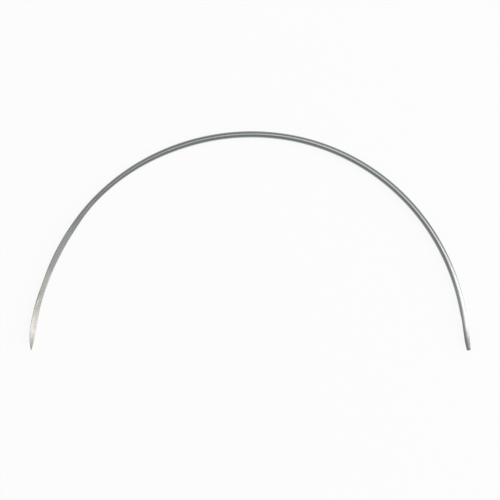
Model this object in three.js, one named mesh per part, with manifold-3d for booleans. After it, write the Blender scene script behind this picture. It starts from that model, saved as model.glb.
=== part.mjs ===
// A half-circle sewing needle, made from one length of drawn steel wire: a flattened, pierced eye at
// one end, a round shank bent to an arc, a pressed flat neck, and a three-edged leaf that cuts at the
// other end. Millimetres, +Z up. The needle lies on its side, eye to +X, tip to -X, arch to +Y.

import * as THREE from 'three';
import { mergeVertices } from 'three/addons/utils/BufferGeometryUtils.js';
import Module from 'manifold-3d';

// The wire, measured along its middle line from the eye end to the tip
const needleLength = 150;
const wireDiameter = 1.4;
const bendRadius = 47.7;

// The last stretch towards the tip is bent to a wider radius
const tipRadius = 58.6;
const tipStretch = 16.8;

// The eye: a head flattened in the plane of the bend, with a slot along it
const eyeWidth = 1.66;
const eyeThickness = 1.12;
const noseThickness = 0.82;
const noseTaper = 2.2;
const noseRadius = 0.72;
const noseEdgeRadius = 0.24;
const slotWidth = 0.65;
const slotLength = 4.15;
const slotCornerRadius = 0.16;
const slotFromEnd = 1.6;
const straightPastSlot = 0.95;
const cheekPastSlot = 0.55;
const roundPastSlot = 3.4;

// The gutters: a groove on each cheek that leads the thread into the slot
const gutterWidth = 0.86;
const gutterDepth = 0.21;
const gutterBeforeSlot = 1.1;
const gutterPastSlot = 2.1;

// The neck: the wire thins to a waist on its inner side, then is pressed between two flats, where it sinks
// a little into the bend
const waistTaper = 25;
const waistHeight = 1.18;
const neckLength = 24;
const neckHeight = 1.39;
const neckSink = 0.1;
const neckWidth = 1.15;
const flatRunOut = 10;

// The leaf: its broad face looks out of the bend and its ridge runs along the inside. It stands a little
// out of the line of the neck, which narrows to its root
const leafRootHeight = 1.2;
const leafHeight = 1.38;
const leafRise = 0.18;
const riseReach = 3.5;
const leafWidth = 2.1;
const leafShoulder = 4;
const leafParallel = 4.6;
const leafTaper = 4.4;
const ridgeTaper = 6;
const ridgeLead = 2;
const rootLead = 0.5;
const rootTaper = 10;
const rootWidth = 0.86;
const rootNarrowing = 5;

// How squarely a flat meets the round beside it: 1 is an oval, more is a wider flat
const cheekSquareness = 1.5;
const neckSquareness = 1.9;

// How bluntly the ridge runs down to the tip: 1 is a pointed arch, a half is a rounded end
const ridgeBluntness = 0.75;

// Facets around the wire, and the longest step along it
const facetsAround = 24;
const noseSteps = 6;
const gutterSteps = 5;
const eyeStep = 0.6;
const shankStep = 3;
const neckStep = 2;
const leafStep = 0.6;

// Places along the wire that follow from those sizes
const slotEnd = slotFromEnd + slotLength;
const slotMiddle = slotFromEnd + slotLength / 2;
const eyeStraight = slotEnd + straightPastSlot;
const shankStart = slotEnd + roundPastSlot;
const leafStart = needleLength - leafShoulder - leafParallel - leafTaper;
const neckStart = leafStart - neckLength;
const taperStart = needleLength - leafTaper;
const rootEnd = leafStart - rootLead;
const ridgePeak = needleLength - ridgeTaper;
const bendLength = needleLength - eyeStraight - tipStretch;

const { lerp, clamp, smoothstep } = THREE.MathUtils;

// The middle line starts at the eye end, runs straight along +Y and then turns left, towards -X
function middleLine(along) {
  const bent = clamp(along - eyeStraight, 0, bendLength) / bendRadius;
  const turned = bent + Math.max(along - eyeStraight - bendLength, 0) / tipRadius;
  const x = bendRadius * (Math.cos(bent) - 1) + tipRadius * (Math.cos(turned) - Math.cos(bent));
  const y = bendRadius * Math.sin(bent) + tipRadius * (Math.sin(turned) - Math.sin(bent));
  return {
    point: new THREE.Vector3(x, Math.min(along, eyeStraight) + y, 0),
    outward: new THREE.Vector3(Math.cos(turned), Math.sin(turned), 0),
  };
}

// Half of a rounded end's height at a distance from its outermost point
function roundEnd(distance, radius) {
  if (distance >= radius) {
    return radius;
  }
  return Math.sqrt(distance * (2 * radius - distance));
}

// Each section has a height in the plane of the bend and a width across it, and says how square its
// cheeks and flats are, how far it has turned into a three-edged leaf and how far it stands out of the
// middle line
function eyeSection(along) {
  const merge = smoothstep(along, slotEnd + cheekPastSlot, shankStart);
  const cheeks = lerp(noseThickness, eyeThickness, smoothstep(along, 0, noseTaper));
  const flank = clamp((slotMiddle - along) / (slotMiddle - noseRadius), 0, 1);
  const swell = lerp(eyeWidth, wireDiameter, smoothstep(along, slotMiddle, shankStart));
  const noseGap = noseRadius - roundEnd(along, noseRadius);
  const edgeGap = noseEdgeRadius - roundEnd(along, noseEdgeRadius);
  return {
    height: lerp(cheeks, wireDiameter, merge) - 2 * edgeGap,
    width: swell - (eyeWidth - 2 * noseRadius) * flank ** 2 - 2 * noseGap,
    cheek: lerp(cheekSquareness, 1, merge),
    flat: 1,
    ridge: 0,
    rise: 0,
  };
}

function shankSection(along) {
  const thinning = smoothstep(along, neckStart - waistTaper, neckStart);
  const height = lerp(wireDiameter, waistHeight, thinning);
  return {
    height,
    width: wireDiameter,
    cheek: 1,
    flat: 1,
    ridge: 0,
    rise: (wireDiameter - height) / 2,
  };
}

// How far the three edges are formed, how far the ridge has grown, how far the flats are pressed, and how
// far the neck and leaf stand out
function ridgeShare(along) {
  return smoothstep(along, leafStart - ridgeLead, taperStart);
}

function ridgeGrowth(along) {
  return smoothstep(along, rootEnd, ridgePeak);
}

function pressedShare(along) {
  return smoothstep(along, neckStart, neckStart + flatRunOut);
}

function leafOffset(along, height) {
  const sunk = (wireDiameter - height) / 2 - neckSink * pressedShare(along);
  return lerp(sunk, leafRise, smoothstep(along, leafStart - riseReach, leafStart + riseReach));
}

function neckSection(along) {
  const pressed = pressedShare(along);
  const root = smoothstep(along, rootEnd - rootTaper, rootEnd);
  const neck = lerp(lerp(waistHeight, neckHeight, pressed), leafRootHeight, root);
  const height = lerp(neck, leafHeight, ridgeGrowth(along));
  const narrowing = smoothstep(along, leafStart - rootNarrowing, leafStart);
  return {
    height,
    width: lerp(lerp(wireDiameter, neckWidth, pressed), rootWidth, narrowing),
    cheek: 1,
    flat: lerp(1, neckSquareness, pressed),
    ridge: ridgeShare(along),
    rise: leafOffset(along, height),
  };
}

// A pointed arch's height at a place along the wire, 1 before its taper and 0 at the tip
function ogive(along, taper) {
  const toTip = clamp((needleLength - along) / taper, 0, 1);
  return toTip * (2 - toTip);
}

function leafSection(along) {
  const shoulder = clamp(1 - (along - leafStart) / leafShoulder, 0, 1);
  const ridgeFall = ogive(along, ridgeTaper) ** ridgeBluntness;
  const height = lerp(leafRootHeight, leafHeight, ridgeGrowth(along)) * ridgeFall;
  return {
    height,
    width: lerp(leafWidth, rootWidth, shoulder ** 2) * ogive(along, leafTaper),
    cheek: 1,
    flat: neckSquareness,
    ridge: ridgeShare(along),
    rise: leafOffset(along, height),
  };
}

// The three-edged outline: two corners on the broad face and one on the ridge, a third of a turn apart
function leafCorner(turn, section) {
  const third = (2 * Math.PI) / 3;
  const side = turn > Math.PI ? -1 : 1;
  const swing = turn > Math.PI ? 2 * Math.PI - turn : turn;
  const halfThird = third / 2;
  if (swing <= halfThird) {
    return new THREE.Vector2(section.height / 2, (side * section.width * swing) / halfThird / 2);
  }
  const down = (swing - halfThird) / third;
  return new THREE.Vector2(section.height * (0.5 - down), (side * section.width * (1 - down)) / 2);
}

// The points around one section, in order, as places in space
function ringAt(along, section) {
  const { point, outward } = middleLine(along);
  const ring = [];
  for (let facet = 0; facet < facetsAround; facet += 1) {
    const turn = (2 * Math.PI * facet) / facetsAround;
    const out = (clamp(section.cheek * Math.cos(turn), -1, 1) * section.height) / 2;
    const up = (clamp(section.flat * Math.sin(turn), -1, 1) * section.width) / 2;
    const outline = new THREE.Vector2(out, up).lerp(leafCorner(turn, section), section.ridge);
    const place = point.clone().addScaledVector(outward, section.rise + outline.x);
    place.z = outline.y;
    ring.push(place);
  }
  return ring;
}

// A closed skin over a row of rings, with a fan of facets to a middle point at each end
function skinRings(rings, firstMiddle, lastMiddle) {
  const around = rings[0].length;
  const places = [...rings.flat(), firstMiddle, lastMiddle];
  const firstIndex = rings.length * around;
  const lastIndex = firstIndex + 1;
  const lastRing = (rings.length - 1) * around;
  const faces = [];
  for (let side = 0; side < around; side += 1) {
    const next = (side + 1) % around;
    for (let row = 0; row < lastRing; row += around) {
      faces.push(row + side, row + around + side, row + next);
      faces.push(row + next, row + around + side, row + around + next);
    }
    faces.push(firstIndex, side, next);
    faces.push(lastIndex, lastRing + next, lastRing + side);
  }
  const geometry = new THREE.BufferGeometry().setFromPoints(places);
  geometry.setIndex(faces);
  return geometry;
}

// Even steps from one place along the wire to another, none longer than the step given
function steps(from, to, longest) {
  const count = Math.ceil((to - from) / longest);
  return Array.from({ length: count + 1 }, (_, index) => lerp(from, to, index / count));
}

function sectionMiddle(along, sectionAt) {
  const { point, outward } = middleLine(along);
  return point.addScaledVector(outward, sectionAt(along).rise);
}

function loft(stations, sectionAt, firstEnd, lastEnd) {
  const rings = stations.map((along) => ringAt(along, sectionAt(along)));
  return skinRings(rings, sectionMiddle(firstEnd, sectionAt), sectionMiddle(lastEnd, sectionAt));
}

// The slot runs along +Y, square at the nose and half-round towards the shank, and is cut along X
function slotCutter() {
  const half = slotWidth / 2;
  const corner = slotCornerRadius;
  const outline = new THREE.Shape();
  outline.moveTo(-half + corner, slotFromEnd);
  outline.lineTo(half - corner, slotFromEnd);
  outline.absarc(half - corner, slotFromEnd + corner, corner, -Math.PI / 2, 0);
  outline.absarc(0, slotEnd - half, half, 0, Math.PI);
  outline.absarc(-half + corner, slotFromEnd + corner, corner, Math.PI, 1.5 * Math.PI);
  const depth = eyeThickness + wireDiameter;
  const geometry = new THREE.ExtrudeGeometry(outline, { depth, bevelEnabled: false, curveSegments: 6 });
  geometry.translate(0, 0, -depth / 2);
  return geometry.rotateY(Math.PI / 2);
}

// A gutter is a slim boat shape let into one cheek, full along the slot and rounding off past its ends
function gutterCutter(cheekSide) {
  const start = slotFromEnd - gutterBeforeSlot;
  const end = slotEnd + gutterPastSlot;
  const cheekPoint = (along) => new THREE.Vector3((cheekSide * eyeSection(along).height) / 2, along, 0);
  const stations = [
    ...steps(start, slotFromEnd, gutterBeforeSlot / gutterSteps).slice(1),
    ...steps(slotEnd, end, gutterPastSlot / gutterSteps).slice(0, -1),
  ];
  const rings = stations.map((along) => {
    const before = Math.max((slotFromEnd - along) / gutterBeforeSlot, 0);
    const past = Math.max((along - slotEnd) / gutterPastSlot, 0);
    const share = Math.sqrt(1 - (before + past) ** 2);
    const ring = [];
    for (let facet = 0; facet < facetsAround; facet += 1) {
      const turn = (2 * Math.PI * facet) / facetsAround;
      const place = cheekPoint(along);
      place.x += gutterDepth * share * Math.cos(turn);
      place.z = (gutterWidth / 2) * share * Math.sin(turn);
      ring.push(place);
    }
    return ring;
  });
  return skinRings(rings, cheekPoint(start), cheekPoint(end));
}

const wasm = await Module();
wasm.setup();

function solidFrom(geometry) {
  const bare = geometry.clone();
  bare.deleteAttribute('normal');
  bare.deleteAttribute('uv');
  const merged = mergeVertices(bare);
  const vertProperties = new Float32Array(merged.attributes.position.array);
  const triVerts = new Uint32Array(merged.index.array);
  return new wasm.Manifold(new wasm.Mesh({ numProp: 3, vertProperties, triVerts }));
}

function geometryFrom(solid) {
  const { vertProperties, triVerts } = solid.getMesh();
  const geometry = new THREE.BufferGeometry();
  geometry.setAttribute('position', new THREE.BufferAttribute(vertProperties, 3));
  geometry.setIndex(new THREE.BufferAttribute(triVerts, 1));
  return geometry;
}

function eyeEnd() {
  const noseTurn = Math.PI / 2 / noseSteps;
  const noseStations = Array.from(
    { length: noseSteps },
    (_, index) => noseRadius * (1 - Math.cos(noseTurn * (index + 1))),
  );
  const headStations = steps(noseRadius, slotEnd + cheekPastSlot, eyeStep).slice(1);
  const mergeStations = steps(slotEnd + cheekPastSlot, shankStart, eyeStep).slice(1);
  const stations = [...noseStations, ...headStations, ...mergeStations];
  const blank = solidFrom(loft(stations, eyeSection, 0, shankStart));
  const pierced = blank
    .subtract(solidFrom(slotCutter()))
    .subtract(solidFrom(gutterCutter(1)))
    .subtract(solidFrom(gutterCutter(-1)));
  return geometryFrom(pierced);
}

function roundShank() {
  const stations = steps(shankStart, neckStart, shankStep);
  return loft(stations, shankSection, shankStart, neckStart);
}

function flatNeck() {
  const stations = steps(neckStart, leafStart, neckStep);
  return loft(stations, neckSection, neckStart, leafStart);
}

function leafPoint() {
  const shoulderStations = steps(leafStart, leafStart + leafShoulder, leafStep);
  const bladeStations = steps(leafStart + leafShoulder, taperStart, 2 * leafStep).slice(1);
  const taperStations = steps(taperStart, needleLength, leafStep).slice(1, -1);
  const stations = [...shoulderStations, ...bladeStations, ...taperStations];
  return loft(stations, leafSection, leafStart, needleLength);
}

function steelPiece(name, geometry, colour, roughness) {
  const material = new THREE.MeshStandardMaterial({ color: colour, roughness, metalness: 1 });
  const piece = new THREE.Mesh(geometry, material);
  piece.name = name;
  return piece;
}

// The bright leaf is freshly ground, the eye is browner where it was annealed for piercing
const needle = new THREE.Group();
needle.add(
  steelPiece('eye_end', eyeEnd(), '#85827e', 0.38),
  steelPiece('round_shank', roundShank(), '#8d9193', 0.28),
  steelPiece('flat_neck', flatNeck(), '#97999a', 0.34),
  steelPiece('leaf_point', leafPoint(), '#b4b3ae', 0.3),
);

// Eye and tip are brought level along X, and the needle is set down with the middle of its box at the
// origin and its lowest edge on the ground
const tip = sectionMiddle(needleLength, leafSection);
needle.rotation.z = Math.PI - Math.atan2(tip.y, tip.x);
const group = new THREE.Group();
group.add(needle);
group.updateMatrixWorld(true);
const box = new THREE.Box3().setFromObject(group, true);
const middle = box.getCenter(new THREE.Vector3());
needle.position.set(-middle.x, -middle.y, -box.min.z);

export default group;
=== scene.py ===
"""A half-circle steel sewing needle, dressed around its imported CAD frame.

The needle is one unbroken piece of wire, so it is one mesh here: a skin lofted along the wire's middle
line, pierced and guttered at the eye. Sizes are in millimetres until the skin is set on the frame.
"""

import math

import bmesh
import bpy
import numpy as np
from mathutils import Matrix, Vector


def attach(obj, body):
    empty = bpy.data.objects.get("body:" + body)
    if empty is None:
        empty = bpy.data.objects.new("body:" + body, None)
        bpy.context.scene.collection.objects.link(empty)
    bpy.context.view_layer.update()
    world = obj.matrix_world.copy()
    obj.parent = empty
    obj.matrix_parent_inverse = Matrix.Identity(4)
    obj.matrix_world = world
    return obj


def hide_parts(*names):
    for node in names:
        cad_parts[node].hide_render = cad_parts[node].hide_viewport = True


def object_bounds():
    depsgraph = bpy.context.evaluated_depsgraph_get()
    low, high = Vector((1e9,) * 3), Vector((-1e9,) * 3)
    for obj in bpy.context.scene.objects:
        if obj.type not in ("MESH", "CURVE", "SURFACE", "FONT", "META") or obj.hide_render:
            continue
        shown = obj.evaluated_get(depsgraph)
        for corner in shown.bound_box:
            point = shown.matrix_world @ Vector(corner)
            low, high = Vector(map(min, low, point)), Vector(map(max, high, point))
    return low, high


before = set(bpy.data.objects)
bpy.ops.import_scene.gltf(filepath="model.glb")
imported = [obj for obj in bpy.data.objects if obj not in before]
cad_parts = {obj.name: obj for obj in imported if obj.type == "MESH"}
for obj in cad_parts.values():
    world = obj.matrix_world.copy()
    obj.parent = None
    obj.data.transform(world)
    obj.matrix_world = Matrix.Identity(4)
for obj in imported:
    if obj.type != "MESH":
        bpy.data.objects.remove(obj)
CAD_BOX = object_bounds()

MM = 0.001

# The wire, measured along its middle line from the eye end to the tip
NEEDLE_LENGTH = 150
WIRE_DIAMETER = 1.4
BEND_RADIUS = 47.7
TIP_RADIUS = 58.6
TIP_STRETCH = 16.8

# The wire is bent by hand, so its middle line wanders in and out in a slow wave that ends at the neck
HAND_WANDER = 0.065
WANDER_LENGTH = 75
WANDER_START = 29

# The eye
EYE_WIDTH = 1.66
EYE_THICKNESS = 1.12
NOSE_THICKNESS = 0.82
NOSE_TAPER = 2.2
NOSE_RADIUS = 0.72
NOSE_EDGE_RADIUS = 0.24
SLOT_WIDTH = 0.65
SLOT_LENGTH = 4.15
SLOT_CORNER_RADIUS = 0.16
SLOT_FROM_END = 1.6
SLOT_LIP = 0.1
STRAIGHT_PAST_SLOT = 0.95
CHEEK_PAST_SLOT = 0.55
ROUND_PAST_SLOT = 3.4
GUTTER_WIDTH = 1.15
GUTTER_DEPTH = 0.21
GUTTER_BEFORE_SLOT = 1.1
GUTTER_PAST_SLOT = 2.4

# The neck
WAIST_TAPER = 25
WAIST_HEIGHT = 1.18
NECK_LENGTH = 24
NECK_HEIGHT = 1.39
NECK_SINK = 0.1
NECK_WIDTH = 1.15
FLAT_RUN_OUT = 10

# The leaf
LEAF_ROOT_HEIGHT = 1.2
LEAF_HEIGHT = 1.38
LEAF_RISE = 0.18
RISE_REACH = 3.5
LEAF_WIDTH = 2.1
LEAF_SHOULDER = 4
LEAF_PARALLEL = 4.6
LEAF_TAPER = 4.4
RIDGE_TAPER = 6
RIDGE_LEAD = 2
ROOT_LEAD = 0.5
ROOT_TAPER = 10
ROOT_WIDTH = 0.86
ROOT_NARROWING = 5

# How squarely a flat meets the round beside it: 1 is an oval, more is a wider flat
CHEEK_SQUARENESS = 1.5
NECK_SQUARENESS = 1.9

# How bluntly the ridge runs down to the tip: 1 is a pointed arch, a half is a rounded end
RIDGE_BLUNTNESS = 0.75

# How far the eye's haze, and its own tone with a painted highlight on the outer side of its bend, reach along
# the shank, how far its darker nose fades past the slot, and how far the grinding wheel runs out over the
# neck
EYE_HAZE = 20
EYE_TONE_REACH = 13
NOSE_FADE = 1
WHEEL_RUN_OUT = 6

# How much later the ground finish starts for each millimetre from the middle of the leaf's broad face
GRINDING_SLANT = 3

# A soft noise keeps mostly between these values, and this many finer layers are added to it
GRAIN_LOW = 0.3
GRAIN_HIGH = 0.7
GRAIN_DETAIL = 2.0

# How far round its quarter circle the slot's lip flares, and how much of it lies under the gutter's floor
LIP_TURN = 0.95
LIP_SUNK = 0.7

# How finely the skin is divided, and how many times the corners of its sections are eased
FACETS_AROUND = 96
NOSE_STEPS = 16
EYE_STEP = 0.08
SHANK_STEP = 0.6
NECK_STEP = 0.3
LEAF_STEP = 0.12
CORNER_STEPS = 9
ROUND_STEPS = 33
LIP_STEPS = 8
EDGE_EASINGS = 10

# Edges that turn by more degrees than this stay crisp, and points nearer than this in millimetres are welded
CRISP_EDGE = 38
WELD = 0.0005

# How much of the paper under the needle is plain white, and how bright the room is
PAPER_WHITE = 0.9
ROOM_LIGHT = 0.46

# Places along the wire that follow from those sizes
SLOT_END = SLOT_FROM_END + SLOT_LENGTH
SLOT_MIDDLE = SLOT_FROM_END + SLOT_LENGTH / 2
EYE_STRAIGHT = SLOT_END + STRAIGHT_PAST_SLOT
SHANK_START = SLOT_END + ROUND_PAST_SLOT
LEAF_START = NEEDLE_LENGTH - LEAF_SHOULDER - LEAF_PARALLEL - LEAF_TAPER
NECK_START = LEAF_START - NECK_LENGTH
TAPER_START = NEEDLE_LENGTH - LEAF_TAPER
ROOT_END = LEAF_START - ROOT_LEAD
RIDGE_PEAK = NEEDLE_LENGTH - RIDGE_TAPER
BEND_LENGTH = NEEDLE_LENGTH - EYE_STRAIGHT - TIP_STRETCH


def lerp(start, end, share):
    return start + (end - start) * share


def ease(along, start, end):
    share = np.clip((along - start) / (end - start), 0, 1)
    return share * share * (3 - 2 * share)


def wander(along):
    """How far the middle line lies out of its clean arc at a place along the wire."""
    wave = np.sin(2 * math.pi * (along - WANDER_START) / WANDER_LENGTH)
    return HAND_WANDER * wave * (1 - ease(along, NECK_START - WAIST_TAPER, NECK_START))


def middle_line(along):
    """Points of the wire's middle line and directions out of its bend. It starts along +Y and turns left."""
    bent = np.clip(along - EYE_STRAIGHT, 0, BEND_LENGTH) / BEND_RADIUS
    turned = bent + np.maximum(along - EYE_STRAIGHT - BEND_LENGTH, 0) / TIP_RADIUS
    x = BEND_RADIUS * (np.cos(bent) - 1) + TIP_RADIUS * (np.cos(turned) - np.cos(bent))
    y = BEND_RADIUS * np.sin(bent) + TIP_RADIUS * (np.sin(turned) - np.sin(bent))
    level = np.zeros_like(along)
    points = np.stack([x, np.minimum(along, EYE_STRAIGHT) + y, level], -1)
    outward = np.stack([np.cos(turned), np.sin(turned), level], -1)
    return points + outward * wander(along)[:, None], outward


def unbend(points):
    """Where points of the skin would lie on a straight wire: out of the bend, up, and along the wire."""
    bend_centre = np.array([-BEND_RADIUS, EYE_STRAIGHT])
    bend_end = BEND_LENGTH / BEND_RADIUS
    last_outward = np.array([math.cos(bend_end), math.sin(bend_end)])
    tip_centre = bend_centre + (BEND_RADIUS - TIP_RADIUS) * last_outward
    arm = points[:, :2] - bend_centre
    swing = np.arctan2(arm[:, 1], arm[:, 0])
    tip_arm = points[:, :2] - tip_centre
    tip_swing = np.arctan2(tip_arm[:, 1], tip_arm[:, 0]) % (2 * math.pi) - bend_end
    straight = (points[:, 1] < EYE_STRAIGHT) & (points[:, 0] > -BEND_RADIUS)
    in_bend = ~straight & (swing >= 0) & (swing < bend_end)
    zones = [straight, in_bend]
    bent_out = np.hypot(*arm.T) - BEND_RADIUS
    tip_out = np.hypot(*tip_arm.T) - TIP_RADIUS
    out = np.select(zones, [points[:, 0], bent_out], tip_out)
    bent_along = EYE_STRAIGHT + swing * BEND_RADIUS
    tip_along = EYE_STRAIGHT + BEND_LENGTH + tip_swing * TIP_RADIUS
    along = np.select(zones, [points[:, 1], bent_along], tip_along)
    return np.stack([out - wander(along), points[:, 2], along], -1)


def round_end(distance, radius):
    """Half of a rounded end's height at a distance from its outermost point."""
    inside = np.clip(distance, 0, radius)
    return np.sqrt(inside * (2 * radius - inside))


def ogive(along, taper):
    """A pointed arch's height at a place along the wire, 1 before its taper and 0 at the tip."""
    to_tip = np.clip((NEEDLE_LENGTH - along) / taper, 0, 1)
    return to_tip * (2 - to_tip)


# Each section is a height out of the bend, a width, how square its cheeks and its flats are, and how far its
# middle rises out of the bend


def eye_section(along):
    merge = ease(along, SLOT_END + CHEEK_PAST_SLOT, SHANK_START)
    cheeks = lerp(NOSE_THICKNESS, EYE_THICKNESS, ease(along, 0, NOSE_TAPER))
    flank = np.clip((SLOT_MIDDLE - along) / (SLOT_MIDDLE - NOSE_RADIUS), 0, 1)
    swell = lerp(EYE_WIDTH, WIRE_DIAMETER, ease(along, SLOT_MIDDLE, SHANK_START))
    nose_gap = NOSE_RADIUS - round_end(along, NOSE_RADIUS)
    edge_gap = NOSE_EDGE_RADIUS - round_end(along, NOSE_EDGE_RADIUS)
    height = lerp(cheeks, WIRE_DIAMETER, merge) - 2 * edge_gap
    width = swell - (EYE_WIDTH - 2 * NOSE_RADIUS) * flank**2 - 2 * nose_gap
    return height, width, lerp(CHEEK_SQUARENESS, 1, merge), np.ones_like(along), np.zeros_like(along)


def shank_section(along):
    height = lerp(WIRE_DIAMETER, WAIST_HEIGHT, ease(along, NECK_START - WAIST_TAPER, NECK_START))
    rise = (WIRE_DIAMETER - height) / 2
    return height, np.full_like(along, WIRE_DIAMETER), np.ones_like(along), np.ones_like(along), rise


def pressed_share(along):
    return ease(along, NECK_START, NECK_START + FLAT_RUN_OUT)


def leaf_offset(along, height):
    sunk = (WIRE_DIAMETER - height) / 2 - NECK_SINK * pressed_share(along)
    return lerp(sunk, LEAF_RISE, ease(along, LEAF_START - RISE_REACH, LEAF_START + RISE_REACH))


def neck_section(along):
    pressed = pressed_share(along)
    root = ease(along, ROOT_END - ROOT_TAPER, ROOT_END)
    neck = lerp(lerp(WAIST_HEIGHT, NECK_HEIGHT, pressed), LEAF_ROOT_HEIGHT, root)
    height = lerp(neck, LEAF_HEIGHT, ease(along, ROOT_END, RIDGE_PEAK))
    narrowing = ease(along, LEAF_START - ROOT_NARROWING, LEAF_START)
    width = lerp(lerp(WIRE_DIAMETER, NECK_WIDTH, pressed), ROOT_WIDTH, narrowing)
    flats = lerp(1, NECK_SQUARENESS, pressed)
    return height, width, np.ones_like(along), flats, leaf_offset(along, height)


def leaf_section(along):
    shoulder = np.clip(1 - (along - LEAF_START) / LEAF_SHOULDER, 0, 1)
    grown = lerp(LEAF_ROOT_HEIGHT, LEAF_HEIGHT, ease(along, ROOT_END, RIDGE_PEAK))
    height = grown * ogive(along, RIDGE_TAPER) ** RIDGE_BLUNTNESS
    width = lerp(LEAF_WIDTH, ROOT_WIDTH, shoulder**2) * ogive(along, LEAF_TAPER)
    flats = np.full_like(along, NECK_SQUARENESS)
    return height, width, np.ones_like(along), flats, leaf_offset(along, height)


def leaf_outline(turn):
    """Three straight edges from corner to corner, a third of a turn apart, in a box one unit each way."""
    half_third = math.pi / 3
    swing = np.minimum(turn, 2 * math.pi - turn)
    side = np.where(turn > math.pi, -1, 1)
    down = np.clip((swing - half_third) / (2 * half_third), 0, 1)
    across = np.minimum(swing / half_third, 1) * (1 - down)
    return 0.5 - down, side * across / 2


def gutter_share(along):
    """How deep the gutters are at a place along the wire: 1 along the slot, running out past its ends."""
    before = ease(along, SLOT_FROM_END - GUTTER_BEFORE_SLOT, SLOT_FROM_END)
    past = ease(along, SLOT_END, SLOT_END + GUTTER_PAST_SLOT)
    return before * (1 - past)


def gutter_hollow(up):
    """How far a full gutter lies below the cheek at a height above its middle, with softly rounded edges."""
    return GUTTER_DEPTH * np.clip(1 - (2 * up / GUTTER_WIDTH) ** 2, 0, 1) ** 2


def section_outlines(along):
    """The outline of each section as (out of the bend, up), one row of points a section."""
    zones = [along < SHANK_START, along < NECK_START, along < LEAF_START]
    choices = [eye_section(along), shank_section(along), neck_section(along)]
    last = leaf_section(along)
    values = [np.select(zones, [choice[i] for choice in choices], last[i])[:, None] for i in range(len(last))]
    height, width, cheek, flat, rise = values
    ridge = ease(along, LEAF_START - RIDGE_LEAD, TAPER_START)[:, None]
    turn = np.arange(FACETS_AROUND) * 2 * math.pi / FACETS_AROUND
    leaf_out, leaf_up = leaf_outline(turn)
    out = lerp(np.clip(cheek * np.cos(turn), -1, 1) / 2, leaf_out, ridge) * height
    up = lerp(np.clip(flat * np.sin(turn), -1, 1) / 2, leaf_up, ridge) * width
    kept_girth = (1 + math.cos(2 * math.pi / FACETS_AROUND)) / 2
    for _ in range(EDGE_EASINGS):
        out = (np.roll(out, 1, 1) + 2 * out + np.roll(out, -1, 1)) / 4 / kept_girth
        up = (np.roll(up, 1, 1) + 2 * up + np.roll(up, -1, 1)) / 4 / kept_girth
    out -= np.sign(out) * gutter_share(along)[:, None] * gutter_hollow(up)
    return rise + out, up


def skin_rings(name, rings, first_middle, last_middle):
    """A closed mesh over rows of points, with a fan of faces to a middle point at each end."""
    rows, around = rings.shape[:2]
    index = np.arange(rows * around).reshape(rows, around)
    beside = np.roll(index, -1, 1)
    quads = np.stack([index[:-1], index[1:], beside[1:], beside[:-1]], -1).reshape(-1, 4)
    first, last = rows * around, rows * around + 1
    fans = [(first, int(a), int(b)) for a, b in zip(index[0], beside[0])]
    fans += [(last, int(b), int(a)) for a, b in zip(index[-1], beside[-1])]
    mesh = bpy.data.meshes.new(name)
    points = np.vstack([rings.reshape(-1, 3), first_middle, last_middle])
    mesh.from_pydata(points.tolist(), [], quads.tolist() + fans)
    return mesh


def even_steps(start, end, longest):
    count = math.ceil((end - start) / longest)
    return np.linspace(start, end, count, endpoint=False)


def needle_blank():
    """The whole needle before its eye is pierced."""
    nose = NOSE_RADIUS * (1 - np.cos(np.arange(1, NOSE_STEPS) * math.pi / 2 / NOSE_STEPS))
    along = np.concatenate(
        [
            nose,
            even_steps(NOSE_RADIUS, SHANK_START, EYE_STEP),
            even_steps(SHANK_START, NECK_START, SHANK_STEP),
            even_steps(NECK_START, LEAF_START, NECK_STEP),
            even_steps(LEAF_START, NEEDLE_LENGTH, LEAF_STEP),
        ]
    )
    points, outward = middle_line(along)
    out, up = section_outlines(along)
    rings = points[:, None, :] + outward[:, None, :] * out[:, :, None]
    rings[:, :, 2] = up
    ends, end_outward = middle_line(np.array([0.0, NEEDLE_LENGTH]))
    return skin_rings("needle", rings, ends[0], ends[1] + LEAF_RISE * end_outward[1])


def slot_outline(grow):
    """The slot's edge as (along, up), square at the nose and half-round at the shank, grown all round."""
    half = SLOT_WIDTH / 2 + grow
    corner = SLOT_CORNER_RADIUS + grow
    start = SLOT_FROM_END - grow
    quarter = np.linspace(0, math.pi / 2, CORNER_STEPS)
    low = np.stack([start + corner * (1 - np.cos(quarter)), corner * (1 - np.sin(quarter)) - half], -1)
    half_turn = np.linspace(-math.pi / 2, math.pi / 2, ROUND_STEPS)
    far = np.stack([SLOT_END + grow - half + half * np.cos(half_turn), half * np.sin(half_turn)], -1)
    high = low[::-1] * np.array([1, -1])
    return np.vstack([low, far, high])


def slot_cutter():
    """A punch through the eye whose lips flare where it breaks out into the gutters."""
    lip_at = EYE_THICKNESS / 2 - gutter_hollow(SLOT_WIDTH / 2)
    lip = np.linspace(0, LIP_TURN, LIP_STEPS)
    side = np.concatenate([lip_at + SLOT_LIP * (lip - LIP_SUNK), [WIRE_DIAMETER]])
    flare = SLOT_LIP * (1 - np.sqrt(1 - lip**2))
    grow = np.append(flare, flare[-1] + SLOT_LIP)
    depths = np.concatenate([side[::-1], -side])
    grows = np.concatenate([grow[::-1], grow])
    rings = []
    for depth, spread in zip(depths, grows):
        outline = slot_outline(spread)
        rings.append(np.column_stack([np.full(len(outline), depth), outline]))
    rings = np.array(rings)
    rings[:, :, 0] += wander(rings[:, :, 1])
    return skin_rings("slot_cutter", rings, rings[0].mean(0), rings[-1].mean(0))


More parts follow.
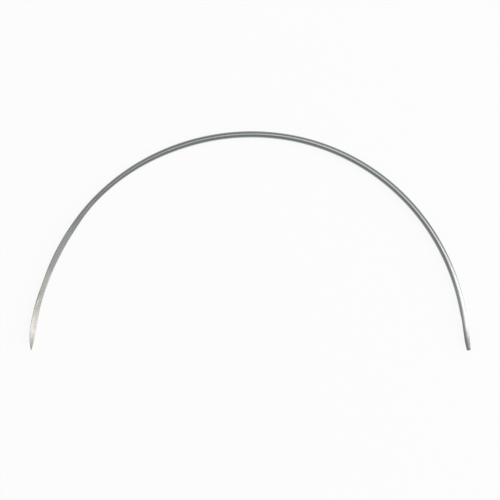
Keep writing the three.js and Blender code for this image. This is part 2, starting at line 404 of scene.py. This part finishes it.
def cut(piece, cutter_mesh):
    """Takes a cutter's shape out of a piece, and removes the cutter."""
    cutter = bpy.data.objects.new(cutter_mesh.name, cutter_mesh)
    bpy.context.scene.collection.objects.link(cutter)
    modifier = piece.modifiers.new(cutter_mesh.name, "BOOLEAN")
    modifier.operation = "DIFFERENCE"
    modifier.solver = "EXACT"
    modifier.object = cutter
    bpy.context.view_layer.update()
    depsgraph = bpy.context.evaluated_depsgraph_get()
    carved = bpy.data.meshes.new_from_object(piece.evaluated_get(depsgraph))
    piece.modifiers.clear()
    old = piece.data
    piece.data = carved
    bpy.data.objects.remove(cutter)
    bpy.data.meshes.remove(cutter_mesh)
    bpy.data.meshes.remove(old)


def clean(mesh):
    """Welds the slivers that cutting leaves, and points every face outwards."""
    made = bmesh.new()
    made.from_mesh(mesh)
    bmesh.ops.remove_doubles(made, verts=made.verts, dist=WELD)
    bmesh.ops.dissolve_degenerate(made, edges=made.edges, dist=WELD)
    bmesh.ops.recalc_face_normals(made, faces=made.faces)
    made.to_mesh(mesh)
    made.free()


def read_points(mesh):
    points = np.empty(len(mesh.vertices) * 3)
    mesh.vertices.foreach_get("co", points)
    return points.reshape(-1, 3)


def store_places(mesh):
    """Keeps each point's place on the straight wire, and how deep it lies in the eye, both in millimetres."""
    straight = unbend(read_points(mesh))
    out, up, along = straight.T
    layer = mesh.attributes.new("unbent_mm", "FLOAT_VECTOR", "POINT")
    layer.data.foreach_set("vector", straight.astype(np.float32).ravel())
    in_eye = (along < SHANK_START) & (np.abs(up) < GUTTER_WIDTH / 2)
    below_cheek = np.clip(eye_section(along)[0] / 2 - np.abs(out), 0, GUTTER_DEPTH)
    depth = np.where(in_eye, below_cheek, 0) * gutter_share(along)
    layer = mesh.attributes.new("eye_depth_mm", "FLOAT", "POINT")
    layer.data.foreach_set("value", depth.astype(np.float32))


def set_on_frame(mesh):
    """Turns the chord along X and sets the skin in the middle of the frame's box, no larger than the box."""
    ends, outward = middle_line(np.array([0.0, NEEDLE_LENGTH]))
    tip = ends[1] + LEAF_RISE * outward[1]
    mesh.transform(Matrix.Scale(MM, 4) @ Matrix.Rotation(math.pi - math.atan2(tip[1], tip[0]), 4, "Z"))
    points = read_points(mesh)
    low, high = points.min(0), points.max(0)
    box_low, box_high = np.array(CAD_BOX[0]), np.array(CAD_BOX[1])
    scale = np.minimum((box_high - box_low) / (high - low), 1)
    points = (points - (low + high) / 2) * scale + (box_low + box_high) / 2
    mesh.vertices.foreach_set("co", points.ravel())
    mesh.update()


def srgb(hex_colour):
    """A linear colour from an sRGB hex value."""
    channels = [int(hex_colour[i : i + 2], 16) / 255 for i in (1, 3, 5)]
    linear = [c / 12.92 if c <= 0.04045 else ((c + 0.055) / 1.055) ** 2.4 for c in channels]
    return (*linear, 1)


def add_node(tree, kind, settings=None, inputs=None):
    """Adds a node with its own settings, and its inputs as values or as sockets to link from."""
    node = tree.nodes.new(kind)
    for name, value in (settings or {}).items():
        setattr(node, name, value)
    for name, value in (inputs or {}).items():
        if isinstance(value, bpy.types.NodeSocket):
            tree.links.new(value, node.inputs[name])
        else:
            node.inputs[name].default_value = value
    return node


# Inputs and outputs of the mix node, which shares their names between values and tones
SHARE = 0
FIRST_VALUE = 2
SECOND_VALUE = 3
FIRST_TONE = 6
SECOND_TONE = 7
MIXED_VALUE = 0
MIXED_TONE = 2


def new_material(name):
    material = bpy.data.materials.new(name)
    material.use_nodes = True
    material.node_tree.nodes.clear()
    return material, material.node_tree


def lay_finish(tree, under, zones, tones=None, roughness=None, relief=None):
    """Lays a finish over the ones under it. Each zone is a value, where the finish starts, and where it is
    full. Tones and roughness are each a pattern and the two ends it leads between. Relief is a pattern."""
    share = None
    for value, start, full in zones:
        inputs = {"Value": value, "From Min": start, "From Max": full}
        soft = {"interpolation_type": "SMOOTHSTEP"}
        zone = add_node(tree, "ShaderNodeMapRange", soft, inputs).outputs["Result"]
        if share:
            inputs = {0: share, 1: zone}
            zone = add_node(tree, "ShaderNodeMath", {"operation": "MULTIPLY"}, inputs).outputs[0]
        share = zone
    finish = dict(under)
    if tones:
        pattern, dark, light = tones
        inputs = {SHARE: pattern, FIRST_TONE: srgb(dark), SECOND_TONE: srgb(light)}
        own = add_node(tree, "ShaderNodeMix", {"data_type": "RGBA"}, inputs).outputs[MIXED_TONE]
        if share:
            inputs = {SHARE: share, FIRST_TONE: under["tone"], SECOND_TONE: own}
            own = add_node(tree, "ShaderNodeMix", {"data_type": "RGBA"}, inputs).outputs[MIXED_TONE]
        finish["tone"] = own
    if roughness:
        pattern, low, high = roughness
        inputs = {"Value": pattern, "From Min": GRAIN_LOW, "From Max": GRAIN_HIGH}
        inputs |= {"To Min": low, "To Max": high}
        own = add_node(tree, "ShaderNodeMapRange", inputs=inputs).outputs["Result"]
        if share:
            inputs = {SHARE: share, FIRST_VALUE: under["roughness"], SECOND_VALUE: own}
            own = add_node(tree, "ShaderNodeMix", inputs=inputs).outputs[MIXED_VALUE]
        finish["roughness"] = own
    if relief:
        own = relief
        if share:
            inputs = {SHARE: share, FIRST_VALUE: under["relief"], SECOND_VALUE: relief}
            own = add_node(tree, "ShaderNodeMix", inputs=inputs).outputs[MIXED_VALUE]
        finish["relief"] = own
    return finish


def hardened_carbon_steel():
    """Drawn carbon steel wire, hardened and then finished by hand, so that each length has a look of its own:
    a cool polished shank with fine lines along it, a hazy eye with a painted highlight on the outer side of
    its bend, dull pressed flats, and a leaf ground pale and creamy with painted shade at its root. The
    gutters are darker and browner the deeper they are."""
    material, tree = new_material("hardened_carbon_steel")
    places = add_node(tree, "ShaderNodeAttribute", {"attribute_name": "unbent_mm"}).outputs["Vector"]
    depth = add_node(tree, "ShaderNodeAttribute", {"attribute_name": "eye_depth_mm"}).outputs["Fac"]
    place = add_node(tree, "ShaderNodeSeparateXYZ", inputs={"Vector": places}).outputs
    out, along = place["X"], place["Z"]
    from_middle = add_node(tree, "ShaderNodeMath", {"operation": "ABSOLUTE"}, {0: place["Y"]}).outputs[0]

    # Sizes of the grains in millimetres: out of the bend, up and along the wire. Lines from the drawing die
    # and marks from the grinding wheel are really a few hundredths wide, and coarser here so that they show
    grain_sizes = {
        "lines": (0.15, 0.15, 9),
        "marks": (2.5, 2.5, 0.25),
        "patches": (1, 1, 3.5),
        "mottle": (0.5, 0.5, 0.9),
    }
    grains = {}
    for name, sizes in grain_sizes.items():
        inputs = {"Vector": places, "Scale": tuple(1 / size for size in sizes)}
        scaled = add_node(tree, "ShaderNodeMapping", inputs=inputs).outputs["Vector"]
        inputs = {"Vector": scaled, "Scale": 1.0, "Detail": GRAIN_DETAIL}
        grains[name] = add_node(tree, "ShaderNodeTexNoise", inputs=inputs).outputs["Fac"]
    lines, marks, patches, mottle = grains.values()

    # The wheel bites into the middle of the broad face first, so the ground finish starts in a point there
    inputs = {0: from_middle, 1: -GRINDING_SLANT, 2: along}
    ground = add_node(tree, "ShaderNodeMath", {"operation": "MULTIPLY_ADD"}, inputs).outputs[0]

    shank = [(lines, "#8b8e8f", "#aaadae"), (patches, 0.18, 0.26), lines]
    finish = lay_finish(tree, {}, [], *shank)

    # The eye is annealed to be pierced, which leaves it hazy, and it has a lighter tone of its own.
    # The outer side of its bend is painted near white: a painted highlight
    hazy = [(along, SHANK_START + EYE_HAZE, SLOT_END)]
    finish = lay_finish(tree, finish, hazy, roughness=(patches, 0.48, 0.58))
    eye_zone = [(along, SHANK_START + EYE_TONE_REACH, SHANK_START)]
    finish = lay_finish(tree, finish, eye_zone, (lines, "#959899", "#abaeaf"))
    # Painted highlight: the outer side of the eye's bend is painted near white
    painted_highlight_side = (out, -WIRE_DIAMETER / 2, WIRE_DIAMETER / 8)
    finish = lay_finish(tree, finish, [*eye_zone, painted_highlight_side], (lines, "#c8cbcc", "#e0e3e4"))
    nose = [(along, SLOT_END + NOSE_FADE, NOSE_RADIUS)]
    finish = lay_finish(tree, finish, nose, (patches, "#8e9090", "#a0a2a2"))

    # The dies leave the neck's flats dull, and the wheel runs out over their ends and pales them
    on_flat = (from_middle, ROOT_WIDTH / 3, ROOT_WIDTH / 2)
    pressed = [(along, NECK_START + FLAT_RUN_OUT / 2, LEAF_START - RISE_REACH), on_flat]
    finish = lay_finish(tree, finish, pressed, (lines, "#a2a39f", "#b2b3af"), (patches, 0.38, 0.46))
    run_out = [(along, LEAF_START - WHEEL_RUN_OUT, LEAF_START - WHEEL_RUN_OUT / 2), on_flat]
    finish = lay_finish(tree, finish, run_out, (lines, "#c4c4be", "#cdcdc7"))

    # The leaf is ground across, and stays darker where its tip is honed. The darker band across its root is
    # painted shade
    leaf = [(ground, LEAF_START - ROOT_WIDTH * GRINDING_SLANT, LEAF_START + ROOT_WIDTH)]
    finish = lay_finish(tree, finish, leaf, (marks, "#b8b6af", "#cfcdc6"), (patches, 0.4, 0.6), marks)
    tip = [(along, TAPER_START, NEEDLE_LENGTH)]
    finish = lay_finish(tree, finish, tip, (marks, "#989690", "#adaba4"))
    # Painted shade: a darker band across the leaf's root
    root = [
        (along, LEAF_START - ROOT_WIDTH, LEAF_START + ROOT_WIDTH / 3),
        (along, LEAF_START + LEAF_SHOULDER + ROOT_WIDTH, LEAF_START + ROOT_WIDTH),
    ]
    finish = lay_finish(tree, finish, root, (marks, "#a3a39d", "#adada7"))

    # The gutters are darker and browner the deeper they are
    gutter_darkening = [(depth, 0, GUTTER_DEPTH / 2)]
    finish = lay_finish(tree, finish, gutter_darkening, (mottle, "#3a352f", "#a09a92"))

    inputs = {"Height": finish["relief"], "Strength": 0.12, "Distance": 0.01 * MM}
    normal = add_node(tree, "ShaderNodeBump", inputs=inputs).outputs["Normal"]
    inputs = {"Base Color": finish["tone"], "Roughness": finish["roughness"], "Normal": normal}
    shader = add_node(tree, "ShaderNodeBsdfPrincipled", inputs={"Metallic": 1.0, **inputs})
    add_node(tree, "ShaderNodeOutputMaterial", inputs={"Surface": shader.outputs["BSDF"]})
    return material


def white_sweep_paper():
    """Matt white paper under soft light: it reads as plain white, with only a breath of shadow."""
    material, tree = new_material("white_sweep_paper")
    path = add_node(tree, "ShaderNodeLightPath").outputs
    seen = path["Is Camera Ray"]
    for ray in ("Is Glossy Ray", "Is Transmission Ray"):
        seen = add_node(tree, "ShaderNodeMath", {"operation": "MAXIMUM"}, {0: seen, 1: path[ray]}).outputs[0]
    share = add_node(tree, "ShaderNodeMath", {"operation": "MULTIPLY"}, {0: seen, 1: PAPER_WHITE}).outputs[0]
    paper = add_node(tree, "ShaderNodeBsdfDiffuse", inputs={"Color": srgb("#f2f2f0")}).outputs[0]
    glow = add_node(tree, "ShaderNodeEmission", inputs={"Color": (1, 1, 1, 1), "Strength": 1.0}).outputs[0]
    both = add_node(tree, "ShaderNodeMixShader", inputs={0: share, 1: paper, 2: glow}).outputs[0]
    add_node(tree, "ShaderNodeOutputMaterial", inputs={"Surface": both})
    return material


def make_needle():
    needle = bpy.data.objects.new("needle", needle_blank())
    bpy.context.scene.collection.objects.link(needle)
    cut(needle, slot_cutter())
    clean(needle.data)
    store_places(needle.data)
    set_on_frame(needle.data)
    needle.data.shade_smooth()
    needle.data.set_sharp_from_angle(angle=math.radians(CRISP_EDGE))
    needle.data.name = "needle"
    needle.data.materials.clear()
    needle.data.materials.append(hardened_carbon_steel())
    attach(needle, "root")
    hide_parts("eye_end", "round_shank", "flat_neck", "leaf_point")


def make_floor():
    reach = 3.0
    mesh = bpy.data.meshes.new("floor")
    corners = [(-reach, -reach, 0), (reach, -reach, 0), (reach, reach, 0), (-reach, reach, 0)]
    mesh.from_pydata(corners, [], [(0, 1, 2, 3)])
    mesh.materials.append(white_sweep_paper())
    floor = bpy.data.objects.new("floor", mesh)
    bpy.context.scene.collection.objects.link(floor)


def add_softbox(name, width, depth, azimuth, elevation, distance, radiance):
    """A soft panel facing the needle, sized in metres and placed by degrees from +X and from the floor."""
    lamp = bpy.data.lights.new(name, "AREA")
    lamp.shape = "RECTANGLE"
    lamp.size = width
    lamp.size_y = depth
    lamp.energy = radiance * math.pi * width * depth
    panel = bpy.data.objects.new(name, lamp)
    a, e = math.radians(azimuth), math.radians(elevation)
    away = Vector((math.cos(a) * math.cos(e), math.sin(a) * math.cos(e), math.sin(e)))
    panel.location = away * distance
    panel.rotation_mode = "QUATERNION"
    panel.rotation_quaternion = away.to_track_quat("Z", "Y")
    bpy.context.scene.collection.objects.link(panel)


def light_studio():
    """A tall soft panel to the right, a low one beside it that faces the leaf, a dimmer one over the back
    of the bend and an even grey room."""
    right = {"width": 0.26, "depth": 0.9, "azimuth": 10, "elevation": 33, "distance": 0.8, "radiance": 2.9}
    low = {"width": 0.35, "depth": 0.45, "azimuth": -12, "elevation": 17, "distance": 0.8, "radiance": 2.4}
    over = {"width": 0.85, "depth": 0.95, "azimuth": 42, "elevation": 68, "distance": 1.05, "radiance": 1.12}
    add_softbox("right_softbox", **right)
    add_softbox("low_softbox", **low)
    add_softbox("overhead_softbox", **over)
    world = bpy.data.worlds.new("grey_room")
    world.use_nodes = True
    background = world.node_tree.nodes["Background"]
    background.inputs["Color"].default_value = (1, 1, 1, 1)
    background.inputs["Strength"].default_value = ROOM_LIGHT
    bpy.context.scene.world = world


def make_camera():
    """Looks straight down on the plane of the bend, through a long lens, with the photograph's framing."""
    frame_width = 110.3 * MM
    look_at = Vector((-0.03 * MM, -2.02 * MM, 1.05 * MM))
    data = bpy.data.cameras.new("camera")
    data.lens = 200
    data.sensor_width = 36
    distance = frame_width * data.lens / data.sensor_width
    data.clip_start = 0.01
    data.clip_end = 20
    camera = bpy.data.objects.new("camera", data)
    camera.location = look_at + Vector((0, 0, distance))
    bpy.context.scene.collection.objects.link(camera)
    bpy.context.scene.camera = camera


make_camera()
make_needle()
make_floor()
light_studio()
bpy.context.scene.view_settings.view_transform = "Standard"

bpy.context.view_layer.update()
